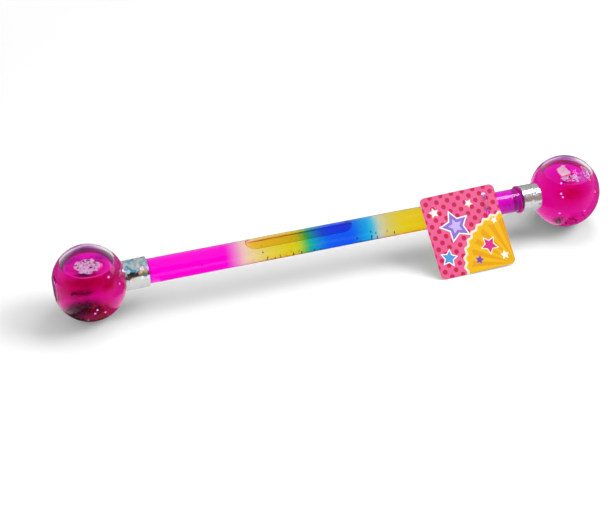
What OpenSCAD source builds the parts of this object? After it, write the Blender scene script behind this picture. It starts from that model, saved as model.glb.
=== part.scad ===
// Twirling baton: a clear tube filled with liquid, a clear liquid-filled glitter ball on each end,
// foil bands round the necks, and a card tag that hangs on the tube from a ring.
// The tube lies along X, Z is up, and the origin is the middle of the tube's axis.

/* [Balls] */
// Diameter of each ball across the baton
ball_d = 48; // [42:1:60]
// How much the half length of a ball is less than its radius
ball_squat = 1.6; // [0.8:0.2:3]
// Wall of the balls
ball_wall = 1.6; // [1.2:0.1:2.4]
// Distance between the centres of the two balls
ball_span = 324; // [260:2:400]
// Diameter of the flat on the outer end of each ball
flat_d = 16; // [15:0.5:20]

/* [Tube and necks] */
// Outer diameter of the tube
tube_d = 15.6; // [13:0.2:18]
// Wall of the tube
tube_wall = 1.2; // [0.8:0.1:2]
// Depth of the socket in each neck
neck_len = 13.6; // [10:0.2:20]
// Wall of the necks
neck_wall = 0.9; // [0.7:0.1:1.6]
// Length of the lip at the mouth of each neck
lip_len = 2; // [1.2:0.2:3]
// Height of the lip above the neck
lip_rise = 0.55; // [0.3:0.05:0.9]
// Thickness of the foil bands
foil_t = 0.15; // [0.1:0.05:0.4]

/* [Plugs] */
// Length of the tube plugs inside the tube
tube_plug_len = 6; // [4:0.5:10]
// Thickness of the tube plugs' heads
tube_plug_head = 1.2; // [0.8:0.1:2]
// Diameter of the end plugs' heads
end_plug_d = 13; // [11:0.5:14]
// Thickness of the end plugs' heads
end_plug_head = 1.1; // [0.8:0.1:1.6]
// Diameter of the end plugs' stems
end_stem_d = 9; // [6:0.5:10]
// Depth of the boss that holds an end plug
boss_len = 3.6; // [2.4:0.2:6]
// Width of the boss around the end plug's head
boss_rim = 1.5; // [1:0.1:2.5]

/* [Liquids] */
// Height of the liquid in the balls above the baton's axis
ball_level = 14.5; // [10:0.5:17]
// Middle of the air bubble along the tube
bubble_x = -27; // [-60:1:60]
// Length of the air bubble
bubble_len = 71; // [30:1:120]
// Depth of the air bubble
bubble_depth = 2.2; // [1.6:0.1:4]

/* [Glitter] */
// Width of a glitter flake across its corners
flake_d = 2; // [1.4:0.1:2.4]
// Thickness of a glitter flake
flake_t = 0.2; // [0.1:0.05:0.4]
// Distance between neighbouring flakes
flake_pitch = 2.3; // [2.1:0.1:2.8]
// Rings of flakes in a floating raft
raft_rings = 3; // [1:1:3]
// Place of a raft in front of the ball's centre
raft_front = 2; // [0:0.5:3]
// Rings of flakes that lie on the bottom of a ball
bed_rings = 3; // [1:1:4]
// Flakes that lie along the bottom of the tube
tube_flakes = 24; // [6:1:40]
// How far to each side the tube's flakes lie, in degrees
tube_flake_spread = 12; // [4:1:14]

/* [Hang tag] */
// Width of the card along the tube
tag_w = 53; // [36:1:64]
// Height of the card
tag_h = 55; // [48:1:70]
// Thickness of the card
tag_t = 0.5; // [0.3:0.1:0.8]
// Radius of the card's corners
tag_corner = 3.5; // [1:0.5:6]
// Distance from the right ball's centre back to the card's middle
tag_inset = 79.5; // [72:0.5:180]
// How far the card is turned in its own plane, in degrees
tag_roll = 1.5; // [0:0.5:4]
// Distance between the card's two holes
hole_pitch = 12; // [11:0.2:14]
// Diameter of the card's holes
hole_d = 3; // [2.8:0.1:4]
// Distance from the card's top edge to the upper hole
hole_edge = 6; // [4:0.1:8]
// Distance of the holes from the card's middle
hole_side = 18; // [-20:1:20]
// Gap between the tube and the back of the card
tag_gap = 0.75; // [0.4:0.05:1]
// Thickness of the ring's strand
strand_d = 0.9; // [0.6:0.1:1]

/* [Clearances] */
// Gap at fixed seats, and between liquid and wall
seat_gap = 0.05; // [0.02:0.01:0.1]
// Gap around glitter flakes
flake_gap = 0.1; // [0.08:0.01:0.15]
// Height of the card's lowest corner above the surface that the balls rest on
floor_gap = 0.3; // [0.1:0.1:1]

/* [Hidden] */
$fn = 96;
left = -1;
right = 1;
// Golden angle, which spreads flakes evenly without a pattern
golden = 137.5;

ball_r = ball_d / 2;
// Half the length of a ball, which is also the radius of its profile's arc
ball_half = ball_r - ball_squat;
// Heights along a ball's own axis, from its centre towards the tube
socket_floor = ball_half;
mouth = socket_floor + neck_len;
flat_at = ball_arc(flat_d / 2);
// Radius of the liquid's wall at the lowest point of a ball
wall_r = ball_r - ball_wall;

tube_r = tube_d / 2;
bore_r = tube_r - tube_wall;
neck_bore_r = tube_r + seat_gap;
neck_r = neck_bore_r + neck_wall;
lip_r = neck_r + lip_rise;
tube_half = ball_span / 2 - socket_floor - tube_plug_head - 2 * seat_gap;
fill_half = tube_half - tube_plug_len - seat_gap;

boss_r = end_plug_d / 2 + boss_rim;
boss_top = boss_len - flat_at;

// Room that a layer of flakes needs above the wall that it lies on
bed_depth = flake_t + 2.5 * flake_gap;
bed_r = (bed_rings + 0.8) * flake_pitch;
tube_bed = flake_t + 2 * flake_gap + bore_r * (1 - cos(tube_flake_spread))
    + flake_d / 2 * sin(tube_flake_spread);

// The card stands off the tube, and the ring passes through both holes on a circle about the axis
tag_off = tube_r + tag_gap + tag_t / 2;
tag_x = ball_span / 2 - tag_inset;
tag_top = hole_pitch / 2 + hole_edge;
tag_foot = tag_h - tag_top;
// How far down the card's own slope its lowest corner reaches, once the card is turned about the ring
tag_reach = tag_corner + (tag_foot - tag_corner) * cos(tag_roll)
    + (tag_w / 2 + hole_side - tag_corner) * sin(tag_roll);
loop_r = norm([tag_off, hole_pitch / 2]);
// The card leans until its lowest corner is just above the surface that the balls rest on
tag_lean = atan2(tag_reach, tag_off) - asin((ball_r - floor_gap) / norm([tag_off, tag_reach]));

// Height of the ball's outside above its middle plane, at a distance from its axis
function ball_arc(r) = sqrt(pow(ball_half, 2) - pow(r - ball_squat, 2));

// Middles of flakes packed in rings about one flake, each a hexagon of 6 k places
function flake_places(rings) = concat([[0, 0]], [
    for (k = [1:rings], side = [0:5], step = [0:k - 1])
        flake_pitch * (k * [cos(60 * side), sin(60 * side)]
            + step * [cos(60 * side + 120), sin(60 * side + 120)])
]);

// Turns a ball's own axis, which points from its centre to the tube, along the baton
module at_end(side) {
    translate([side * ball_span / 2, 0, 0])
        rotate([0, -90 * side, 0])
            children();
}

// Half outline of a ball: an arc whose centre is off the axis, so the ball is a little squat
module ball_outline(inset) {
    intersection() {
        union() {
            translate([ball_squat, 0])
                circle(r = ball_half - inset);
            translate([0, inset - ball_half])
                square([ball_squat, 2 * (ball_half - inset)]);
        }
        translate([0, -ball_r])
            square([ball_d, ball_d]);
    }
}

// Rectangle from the axis out to r, between two heights
module band(r, low, high) {
    translate([0, low])
        square([r, high - low]);
}

module ball_shell_outline() {
    difference() {
        union() {
            difference() {
                union() {
                    ball_outline(0);
                    band(neck_r, 0, mouth);
                    translate([lip_r - lip_len / 2, mouth - lip_len / 2])
                        circle(d = lip_len);
                }
                ball_outline(ball_wall);
            }
            band(boss_r, -flat_at, boss_top);
        }
        band(ball_d, -ball_d, -flat_at);
        band(neck_bore_r, socket_floor, mouth + lip_len);
        band(end_plug_d / 2 + seat_gap, -ball_d, end_plug_head + seat_gap - flat_at);
        band(end_stem_d / 2 + seat_gap, -ball_d, boss_top + ball_wall);
    }
}

module ball_shell(side) {
    color([0.95, 0.85, 0.95, 0.35])
        at_end(side)
            rotate_extrude()
                ball_shell_outline();
}

module end_plug(side) {
    color([0.92, 0.75, 0.9, 0.6])
        at_end(side)
            rotate_extrude() {
                band(end_plug_d / 2, -flat_at, end_plug_head - flat_at);
                band(end_stem_d / 2, -flat_at, boss_top);
            }
}

module tube_plug(side) {
    color([0.9, 0.85, 0.92, 0.7])
        at_end(side)
            rotate_extrude() {
                band(tube_r, socket_floor + seat_gap, socket_floor + seat_gap + tube_plug_head);
                band(
                    bore_r - seat_gap,
                    socket_floor + seat_gap,
                    socket_floor + 2 * seat_gap + tube_plug_head + tube_plug_len
                );
            }
}

// A band over the lip covers the whole neck; the other one stops short of the lip
module foil_band(side, over_lip) {
    inner_r = (over_lip ? lip_r : neck_r) + seat_gap;
    low = ball_arc(inner_r) + seat_gap;
    high = over_lip ? mouth : mouth - lip_len - seat_gap;
    color([0.8, 0.82, 0.86])
        at_end(side)
            rotate_extrude()
                translate([inner_r, low])
                    square([foil_t, high - low]);
}

// The ball's hollow below the level, less the plug's boss and the bed where flakes lie
module ball_liquid(side) {
    color([0.85, 0.0, 0.55, 0.8])
        difference() {
            at_end(side)
                rotate_extrude()
                    difference() {
                        ball_outline(ball_wall + seat_gap);
                        band(boss_r + seat_gap, -ball_d, boss_top + seat_gap);
                    }
            translate([side * ball_span / 2 - ball_r, -ball_r, ball_level])
                cube([ball_d, ball_d, ball_d]);
            difference() {
                translate([side * ball_span / 2, 0, -ball_r])
                    cylinder(r = bed_r, h = ball_r);
                at_end(side)
                    rotate_extrude()
                        ball_outline(ball_wall + bed_depth);
            }
        }
}

module flake() {
    linear_extrude(flake_t)
        circle(d = flake_d, $fn = 6);
}

module floating_glitter(side) {
    color([0.95, 0.8, 0.9])
        translate([side * ball_span / 2, -raft_front, ball_level])
            for (p = flake_places(raft_rings))
                translate([p.x, p.y, 0])
                    flake();
}

// Flakes against the lowest part of the wall, each square to the wall's own direction there
module settled_glitter(side) {
    color([0.35, 0.05, 0.1])
        translate([side * ball_span / 2, 0, 0])
            for (p = flake_places(bed_rings)) {
                tilt = 180 - norm(p) / wall_r * 180 / PI;
                turn = atan2(p.y, p.x);
                out = [sin(tilt) * cos(turn), sin(tilt) * sin(turn), cos(tilt)];
                round_part = (ball_half - ball_wall - flake_gap - flake_t) * out;
                wide_part = ball_squat * [0, out.y, out.z] / norm([out.y, out.z]);
                translate(round_part + wide_part)
                    rotate([0, tilt, turn])
                        flake();
            }
}

module grip_tube() {
    color([0.95, 0.5, 0.85, 0.5])
        rotate([0, 90, 0])
            difference() {
                cylinder(r = tube_r, h = 2 * tube_half, center = true);
                cylinder(r = bore_r, h = 3 * tube_half, center = true);
            }
}

// Plan of the air bubble, a slot with round ends
module bubble_plan(half_w) {
    square([bubble_len - 2 * half_w, 2 * half_w], center = true);
    for (end = [left, right])
        translate([end * (bubble_len / 2 - half_w), 0])
            circle(r = half_w);
}

// The bore's filling, flat below where flakes lie, and open above where the bubble is
module tube_liquid() {
    bubble_floor = bore_r - bubble_depth;
    bubble_half_w = sqrt(pow(bore_r, 2) - pow(bubble_floor, 2));
    color([0.95, 0.9, 0.95, 0.4])
        difference() {
            rotate([0, 90, 0])
                cylinder(r = bore_r - seat_gap, h = 2 * fill_half, center = true);
            translate([bubble_x, 0, bubble_floor])
                linear_extrude(tube_d)
                    bubble_plan(bubble_half_w);
            translate([-ball_span / 2, -tube_r, -tube_d - bore_r + tube_bed])
                cube([ball_span, tube_d, tube_d]);
        }
}

module tube_glitter() {
    step = 2 * (fill_half - flake_d) / (tube_flakes - 1);
    color([0.3, 0.2, 0.25])
        for (i = [0:tube_flakes - 1])
            rotate([tube_flake_spread * sin(golden * i), 0, 0])
                translate([i * step - fill_half + flake_d, 0, flake_gap - bore_r])
                    flake();
}

module tag_plan() {
    difference() {
        union() {
            square([tag_w - 2 * tag_corner, tag_h], center = true);
            square([tag_w, tag_h - 2 * tag_corner], center = true);
            for (x = [-1, 1], y = [-1, 1])
                translate([x * (tag_w / 2 - tag_corner), y * (tag_h / 2 - tag_corner)])
                    circle(r = tag_corner);
        }
        for (row = [0, 1])
            translate([hole_side, tag_h / 2 - hole_edge - row * hole_pitch])
                circle(d = hole_d);
    }
}

module hang_tag() {
    color([0.95, 0.3, 0.55])
        rotate([90 - tag_lean, 0, 0])
            translate([tag_x + hole_side, 0, tag_off - tag_t / 2])
                rotate([0, 0, tag_roll])
                    translate([-hole_side, tag_top - tag_h / 2, 0])
                        linear_extrude(tag_t)
                            tag_plan();
}

module tag_loop() {
    color([0.9, 0.9, 0.92, 0.6])
        translate([tag_x + hole_side, 0, 0])
            rotate([0, 90, 0])
                rotate_extrude()
                    translate([loop_r, 0])
                        circle(d = strand_d);
}

grip_tube();
tube_liquid();
tube_glitter();
tube_plug(left);  // left_tube_plug
tube_plug(right);  // right_tube_plug
ball_shell(left);  // left_ball
ball_shell(right);  // right_ball
end_plug(left);  // left_end_plug
end_plug(right);  // right_end_plug
foil_band(left, over_lip = true);  // left_foil_band
foil_band(right, over_lip = false);  // right_foil_band
ball_liquid(left);  // left_ball_liquid
ball_liquid(right);  // right_ball_liquid
floating_glitter(left);  // left_floating_glitter
floating_glitter(right);  // right_floating_glitter
settled_glitter(left);  // left_settled_glitter
settled_glitter(right);  // right_settled_glitter
hang_tag();
tag_loop();
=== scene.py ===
# %% [markdown]
# A liquid-filled twirling baton. The imported model gives the construction: a tube between two clear balls,
# with a card tag on a ring. This lesson dresses it, piece by piece, with smooth surfaces from numpy and with
# procedural finishes. First the model is loaded as a fixed frame, and its box is kept for the table's height.

# %% Load the frame
import math
from functools import partial

import bmesh
import bpy
import numpy as np
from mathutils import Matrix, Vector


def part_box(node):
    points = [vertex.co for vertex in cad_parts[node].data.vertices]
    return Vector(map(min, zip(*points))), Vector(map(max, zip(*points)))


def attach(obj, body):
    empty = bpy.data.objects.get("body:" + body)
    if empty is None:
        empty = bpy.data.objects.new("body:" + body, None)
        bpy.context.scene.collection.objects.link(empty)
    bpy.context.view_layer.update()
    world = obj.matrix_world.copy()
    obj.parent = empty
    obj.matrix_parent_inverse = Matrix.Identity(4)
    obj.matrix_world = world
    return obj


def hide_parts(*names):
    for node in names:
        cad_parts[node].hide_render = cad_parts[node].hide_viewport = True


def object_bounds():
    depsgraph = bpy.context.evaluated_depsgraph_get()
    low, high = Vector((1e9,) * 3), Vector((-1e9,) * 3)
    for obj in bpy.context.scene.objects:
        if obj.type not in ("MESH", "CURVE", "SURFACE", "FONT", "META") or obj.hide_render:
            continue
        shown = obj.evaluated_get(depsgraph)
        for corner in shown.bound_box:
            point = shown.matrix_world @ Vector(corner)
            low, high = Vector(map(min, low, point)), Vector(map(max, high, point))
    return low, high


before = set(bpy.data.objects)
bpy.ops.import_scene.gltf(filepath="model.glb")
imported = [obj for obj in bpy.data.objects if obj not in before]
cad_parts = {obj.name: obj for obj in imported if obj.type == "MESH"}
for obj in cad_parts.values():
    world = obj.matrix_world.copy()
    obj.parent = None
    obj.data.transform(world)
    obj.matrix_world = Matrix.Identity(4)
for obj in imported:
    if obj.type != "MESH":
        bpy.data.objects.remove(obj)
cad_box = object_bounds()
scene = bpy.context.scene
scene.view_settings.view_transform = "Standard"
MM = 0.001

# %% [markdown]
# The camera stands to the front left and looks down on the baton. Its place and lens could be set by eye, but
# they were worked out from the two balls, the tube's edges and the tag, so that pieces land where they
# should.

# %% Camera
IMAGE_SIZE = (613, 508)
FOCAL_PIXELS = 1357
SENSOR_WIDTH = 36
CAMERA_PLACE = (-0.2531, -0.6758, 0.4897)
CAMERA_DOWN = 35.0
CAMERA_HEADING = 18.9

camera = bpy.data.objects.new("camera", bpy.data.cameras.new("camera"))
camera.data.sensor_width = SENSOR_WIDTH
camera.data.lens = SENSOR_WIDTH * FOCAL_PIXELS / IMAGE_SIZE[0]
camera.location = CAMERA_PLACE
camera.rotation_euler = np.radians((90 - CAMERA_DOWN, 0, -CAMERA_HEADING))
scene.collection.objects.link(camera)
scene.camera = camera
print("camera:", round(camera.data.lens, 1), "mm lens")

# %% [markdown]
# Every finish is a small tree of shader nodes. They could be placed by hand in the editor, but a script is
# easier to read and to change. One helper feeds the inputs of a node, one places a node, and one starts a
# material round a Principled shader.

# %% Shader helpers
def feed(tree, node, inputs):
    """Sets a node's inputs. Each one is a value, or the output socket of another node."""
    for key, value in inputs.items():
        if isinstance(value, bpy.types.NodeSocket):
            tree.links.new(value, node.inputs[key])
        else:
            node.inputs[key].default_value = value
    return node


def put(tree, kind, inputs=None, **settings):
    """Places one shader node with its settings and inputs."""
    made = tree.nodes.new("ShaderNode" + kind)
    for key, value in settings.items():
        setattr(made, key, value)
    return feed(tree, made, inputs or {})


def finish_start(name, **values):
    """A new material, its node tree and its Principled shader with some plain values set."""
    material = bpy.data.materials.new(name)
    material.use_nodes = True
    shader = material.node_tree.nodes["Principled BSDF"]
    feed(material.node_tree, shader, {key.replace("_", " "): value for key, value in values.items()})
    return material, material.node_tree, shader


print("shader helpers ready")

# %% [markdown]
# A few nodes come back in every finish: sums, ranges, mixes, noise, colour ramps and the object's own
# coordinates. A short function for each keeps the finishes below down to a list of what they do.

# %% Shorthands for nodes
def maths(tree, kind, a, b=0.0, c=0.0):
    """Output of one Math node."""
    return put(tree, "Math", {0: a, 1: b, 2: c}, operation=kind).outputs[0]


def vectors(tree, kind, a, b=(0, 0, 0), output=0):
    """Output of one Vector Math node; lengths and dot products come out at Value."""
    return put(tree, "VectorMath", {0: a, 1: b}, operation=kind).outputs[output]


def between(tree, value, low, high, start=0.0, end=1.0):
    """A value carried from low and high to start and end, and held there outside them."""
    return put(tree, "MapRange", {
        "Value": value, "From Min": low, "From Max": high, "To Min": start, "To Max": end,
    }).outputs[0]


def blended(tree, share, first, second, kind="MIX"):
    """A colour between two; the Mix node's sockets 6 and 7 are its colours."""
    return put(tree, "Mix", {0: share, 6: first, 7: second}, data_type="RGBA", blend_type=kind).outputs[2]


def own_place(tree):
    """The object's own coordinates, in metres."""
    return put(tree, "TexCoord").outputs["Object"]


def axes(tree, vector):
    """The X, Y and Z values of a vector."""
    return put(tree, "SeparateXYZ", {0: vector}).outputs


def noise(tree, place, scale, detail):
    """Soft random values from 0 to 1."""
    return put(tree, "TexNoise", {"Vector": place, "Scale": scale, "Detail": detail}).outputs[0]


def ramp(tree, value, stops):
    """Colour ramp over a value from 0 to 1; each stop is its place and its colour."""
    made = put(tree, "ValToRGB", {0: value})
    elements = made.color_ramp.elements
    for i, (where, tint) in enumerate(stops):
        stop = elements[i] if i < 2 else elements.new(where)
        stop.position = where
        stop.color = tint
    return made.outputs[0]


print("shorthands ready")

# %% [markdown]
# Colours are written as the screen shows them, because that is how they are judged by eye. Shaders count in
# light, so the sRGB curve turns each code into light values.

# %% Colours
WHITE = (1, 1, 1, 1)


def light_value(code):
    """Linear red, green and blue of a screen colour such as e0401a."""
    screen = np.array([int(code[i:i + 2], 16) for i in (0, 2, 4)]) / 255
    return np.where(screen <= 0.04045, screen / 12.92, ((screen + 0.055) / 1.055) ** 2.4)


def colour(code):
    """The same colour as a tuple with full alpha, as shader sockets take it."""
    return (*light_value(code), 1.0)


print("magenta in light values:", light_value("ff00ff"))

# %% [markdown]
# The baton lies on a plain white table. The table takes the shadows for the camera, while clear and shiny
# pieces see it as plain white, as they would in a bright room, and far off it fades to white for the camera
# too. Two tables, each shown to some rays, could do this. Asking each ray for its kind needs only one.

# %% Table
FLOOR_HALF = 6.0
FLOOR_SHADE = (0.93, 0.93, 0.93, 1)
FLOOR_LIFT = 0.09
FLOOR_THROUGH = 0.92
FLOOR_MIRRORED = 0.6
FLOOR_FADE = (0.30, 0.55)


def quad(name, corners, material):
    """One flat four-sided stage piece."""
    mesh = bpy.data.meshes.new(name)
    mesh.from_pydata(corners, [], [(0, 1, 2, 3)])
    mesh.materials.append(material)
    made = bpy.data.objects.new(name, mesh)
    scene.collection.objects.link(made)
    return made


def level_corners(left, right, near, far, z):
    """Corners of a level rectangle, so that it faces up."""
    return [(left, near, z), (right, near, z), (right, far, z), (left, far, z)]


def ray_level(tree, plain, glossy, through, direct):
    """A value for each kind of ray; passing through a piece counts before bouncing off one."""
    path = put(tree, "LightPath").outputs
    level = plain
    for kind, value in (("Glossy", glossy), ("Transmission", through), ("Camera", direct)):
        level = put(tree, "Mix", {0: path[f"Is {kind} Ray"], 2: level, 3: value}).outputs[0]
    return level


table_finish, tree, shader = finish_start(
    "white_table", Base_Color=FLOOR_SHADE, Roughness=0.7, Specular_IOR_Level=0.0, Emission_Color=WHITE,
)
feed(tree, shader, {"Emission Strength": ray_level(tree, 0.0, 0.0, 0.0, FLOOR_LIFT)})
far_off = between(tree, vectors(tree, "LENGTH", own_place(tree), output="Value"), *FLOOR_FADE)
seen_white = ray_level(tree, 0.0, FLOOR_MIRRORED, FLOOR_THROUGH, far_off)
glow = put(tree, "Emission", {"Color": WHITE, "Strength": 1.0})
table_mix = put(tree, "MixShader", {0: seen_white, 1: shader.outputs[0], 2: glow.outputs[0]})
feed(tree, tree.nodes["Material Output"], {"Surface": table_mix.outputs[0]})
floor_z = cad_box[0].z
quad("floor", level_corners(-FLOOR_HALF, FLOOR_HALF, -FLOOR_HALF, FLOOR_HALF, floor_z), table_finish)
print("floor at", round(floor_z / MM, 1), "mm")

# %% [markdown]
# Shiny things need something dark to show. A dark card on the camera's side gives the silver bands their
# stripe, and dark sheets on the table keep its glare off the plastic. A darker room would do it too, but it
# would spoil the clear pieces, so these are seen in reflections only.

# %% Dark card and sheets
CARD_AWAY = 1.7
CARD_HALF = 3.0
CARD_TOP = 1.55
CARD_SHADES = ((0.05, 0.025, 0.02, 1), (0.42, 0.3, 0.25, 1))
CARD_FADE = (0.45, 0.9)
SHEET_SHADE = (0.03, 0.03, 0.03, 1)
SHEET_ABOVE = 0.0003
SHEET_END = 3.0
# Left, right, near and far edge of each sheet
SHEETS = (
    (-SHEET_END, -0.196, 0.06, SHEET_END), (-0.196, -0.184, 0.018, SHEET_END),
    (-0.184, -0.142, -0.045, SHEET_END), (-0.142, -0.116, 0.014, 0.035), (-0.116, 0.114, -0.045, SHEET_END),
    (0.114, 0.155, 0.014, 0.035), (0.155, SHEET_END, -0.045, SHEET_END),
)

card_finish, tree, shader = finish_start("dark_card", Roughness=0.9)
fade = between(tree, axes(tree, own_place(tree))[0], *CARD_FADE)
feed(tree, shader, {"Base Color": blended(tree, fade, *CARD_SHADES)})
low_edge = [(x, -CARD_AWAY, floor_z) for x in (-CARD_HALF, CARD_HALF)]
high_edge = [(x, -CARD_AWAY, CARD_TOP) for x in (CARD_HALF, -CARD_HALF)]
dark_pieces = [quad("dark_card", low_edge + high_edge, card_finish)]

sheet_finish = finish_start("dark_sheet", Base_Color=SHEET_SHADE, Roughness=0.9)[0]
for i, edges in enumerate(SHEETS):
    dark_pieces.append(quad(f"dark_sheet_{i}", level_corners(*edges, floor_z + SHEET_ABOVE), sheet_finish))
for dark in dark_pieces:
    dark.visible_camera = False
    dark.visible_diffuse = False
    dark.visible_shadow = False
    dark.visible_transmission = False
print("dark pieces:", len(dark_pieces))

# %% [markdown]
# The room is an even white, dimmer for the light that falls on things than for the camera. Light that leaves
# a dyed piece upwards has wandered inside it, so for such rays the room is tinted overhead. Clear shells
# inside each other need many bounces, and the bright specks of bent light are left out.

# %% Room
WORLD_FILL = 0.40
WORLD_MIRRORED = 0.55
CEILING = (1.5, 0.15, 1.5, 1)
CEILING_RISE = (0.1, 0.4)
BOUNCES = 96
GLOSSY_BOUNCES = 48

world = bpy.data.worlds.new("bright_room")
scene.world = world
world.use_nodes = True
tree = world.node_tree
height = axes(tree, put(tree, "TexCoord").outputs["Generated"])[2]
passed = put(tree, "LightPath").outputs["Is Transmission Ray"]
overhead = maths(tree, "MULTIPLY", between(tree, height, *CEILING_RISE), passed)
feed(tree, tree.nodes["Background"], {
    "Color": blended(tree, overhead, WHITE, CEILING),
    "Strength": ray_level(tree, WORLD_FILL, WORLD_MIRRORED, 1.0, 1.0),
})
scene.cycles.caustics_refractive = False
scene.cycles.caustics_reflective = False
scene.cycles.max_bounces = BOUNCES
scene.cycles.transmission_bounces = BOUNCES
scene.cycles.glossy_bounces = GLOSSY_BOUNCES
print("room:", world.name, "with", BOUNCES, "bounces")

# %% [markdown]
# Five lamps do the shaping. Three soft ones make the shadows: a large box on the right throws them to the
# left, a small box overhead deepens them under the balls, and a bounce card at the front left lifts the near
# side. Gloss doesn't see these three, because their squares would show in it. Two lamps are seen by gloss
# alone: a strip high on the right draws the thin bright line along the tube and across the balls, and a panel
# lower down puts a soft shine on the sides that face it.

# %% Lamps
# Place, size and power in watts of each lamp
SOFT_LAMPS = {
    "soft_box": ((2.04, -0.36, 1.60), (1.50, 1.50), 49.0),
    "top_box": ((0.25, 0.25, 0.70), (0.40, 0.40), 1.7),
    "bounce_card": ((-0.45, -0.35, 0.35), (0.30, 0.30), 1.0),
}
SHINE_LAMPS = {
    "strip": ((0.56, -0.11, 1.00), (0.50, 0.20), 7.0),
    "panel": ((0.80, 0.08, 0.36), (0.45, 0.28), 2.0),
}


def lamp(name, place, size, watts):
    """A rectangular lamp at a place, turned to face the middle of the baton."""
    data = bpy.data.lights.new(name, "AREA")
    data.shape = "RECTANGLE"
    data.size, data.size_y = size
    data.energy = watts
    made = bpy.data.objects.new(name, data)
    made.location = place
    aim = -made.location
    made.rotation_euler = aim.to_track_quat("-Z", "Y").to_euler()
    made.visible_transmission = False
    scene.collection.objects.link(made)
    return made


for name, values in SOFT_LAMPS.items():
    lamp(name, *values).visible_glossy = False
for name, values in SHINE_LAMPS.items():
    lamp(name, *values).visible_diffuse = False

# %% [markdown]
# Nearly every piece is turned or moulded round an axis, so the pieces come from grids of points: rows along
# an outline, columns round it. Joining neighbours gives the faces. Faces that come out inside out are found
# by the sign of the volume that they enclose, and poles are closed later, by merging points that coincide.

# %% Faces of a grid
def grid_faces(rows, columns, wrap):
    """Quads between each point and its neighbours in the next row and column; wrap joins the last column."""
    row = np.arange(rows - 1)[:, None]
    column = np.arange(columns if wrap else columns - 1)[None, :]
    beside = (column + 1) % columns
    corners = (row * columns + column, row * columns + beside,
               (row + 1) * columns + beside, (row + 1) * columns + column)
    return np.stack(np.broadcast_arrays(*corners), axis=-1).reshape(-1, 4)


def volume(points, faces):
    """Enclosed volume: a sixth of the triple product of each triangle's corners, added up."""
    a, b, c, d = (points[faces[:, i]] for i in range(4))
    first = np.einsum("ij,ij->i", a, np.cross(b, c))
    second = np.einsum("ij,ij->i", a, np.cross(c, d))
    return (first.sum() + second.sum()) / 6


def outward(points, faces, hollow=False):
    """Turns all faces round if they enclose a volume of the wrong sign; a hollow counts as negative."""
    turned_in = volume(points, faces) < 0
    return faces[:, ::-1] if turned_in != hollow else faces


print("a grid of 3 by 4 points has", len(grid_faces(3, 4, wrap=True)), "faces")

# %% [markdown]
# A turned piece is told by half its outline: corners with a radius each, and arcs. A Bevel modifier could
# round the corners, but an outline with its arcs worked out keeps every size exact. A smooth normal is
# blended across a whole face, so long straight runs are cut into short steps: a rounded edge then bends only
# the light near it.

# %% Turned outlines
AROUND = 144


def divided(outline, longest=3.0):
    """The outline with each straight run cut into equal steps, none longer than the given length."""
    runs = np.diff(outline, axis=0)
    counts = np.ceil(np.linalg.norm(runs, axis=1) / longest).astype(int).clip(1)
    run = np.repeat(np.arange(len(runs)), counts)
    step = np.arange(counts.sum()) - np.repeat(np.cumsum(counts) - counts, counts)
    return np.vstack([outline[run] + runs[run] * (step / counts[run])[:, None], outline[-1:]])


def rings(axial, radial, turn):
    """Grid of points round the X axis: x, r cos t, r sin t."""
    return np.stack(np.broadcast_arrays(axial, radial * np.cos(turn), radial * np.sin(turn)), axis=-1)


def turned(outline, steps=AROUND):
    """Carries an outline of axial and radial values round the X axis."""
    outline = divided(outline)
    turn = np.linspace(0, 2 * np.pi, steps, endpoint=False)
    grid = rings(outline[:, :1], outline[:, 1:], turn)
    return grid.reshape(-1, 3), grid_faces(len(outline), steps, wrap=True)


def rounded(corners, radii, steps=5):
    """Outline through corners, each inner corner replaced by an arc of its own radius.

    An arc starts and ends at radius over the tangent of half the corner's angle, and its points are a slerp
    between the two radii that end there.
    """
    corners = np.asarray(corners, float)
    here, back, on = corners[1:-1], corners[:-2], corners[2:]
    u = (back - here) / np.linalg.norm(back - here, axis=1)[:, None]
    v = (on - here) / np.linalg.norm(on - here, axis=1)[:, None]
    half = np.arccos(np.clip((u * v).sum(1), -1, 1))[:, None] / 2
    size = np.asarray(radii, float)[:, None]
    middle = here + (u + v) / np.linalg.norm(u + v, axis=1)[:, None] * size / np.sin(half)
    first = here + u * size / np.tan(half) - middle
    last = here + v * size / np.tan(half) - middle
    swing = np.pi - 2 * half
    share = np.linspace(0, 1, steps)
    blend = np.stack([np.sin((1 - share) * swing), np.sin(share * swing)], -1) / np.sin(swing)[:, :, None]
    arcs = middle[:, None] + blend[..., :1] * first[:, None] + blend[..., 1:] * last[:, None]
    return np.concatenate([corners[:1], arcs.reshape(-1, 2), corners[-1:]])


def arc(centre, radius, start, end, steps):
    """Points on a circle between two angles in degrees."""
    turn = np.radians(np.linspace(start, end, steps))
    return np.stack([centre[0] + radius * np.cos(turn), centre[1] + radius * np.sin(turn)], axis=-1)


print("a rounded corner has", len(rounded([(0, 0), (1, 0), (1, 1)], [0.2])) - 2, "points")

# %% [markdown]
# A piece is its mesh and its place in the frame. Each one rides on a body, stands for its plain node and
# takes a material slot. Smooth shading with sharp edges by angle keeps turned parts round and their rims
# crisp. Merging points can change the order of faces, so a second finish is given to faces by where they are.

# %% Making a piece
BATON = "baton"
SHARP = math.radians(40)
MERGED = 1e-4 * MM


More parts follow.
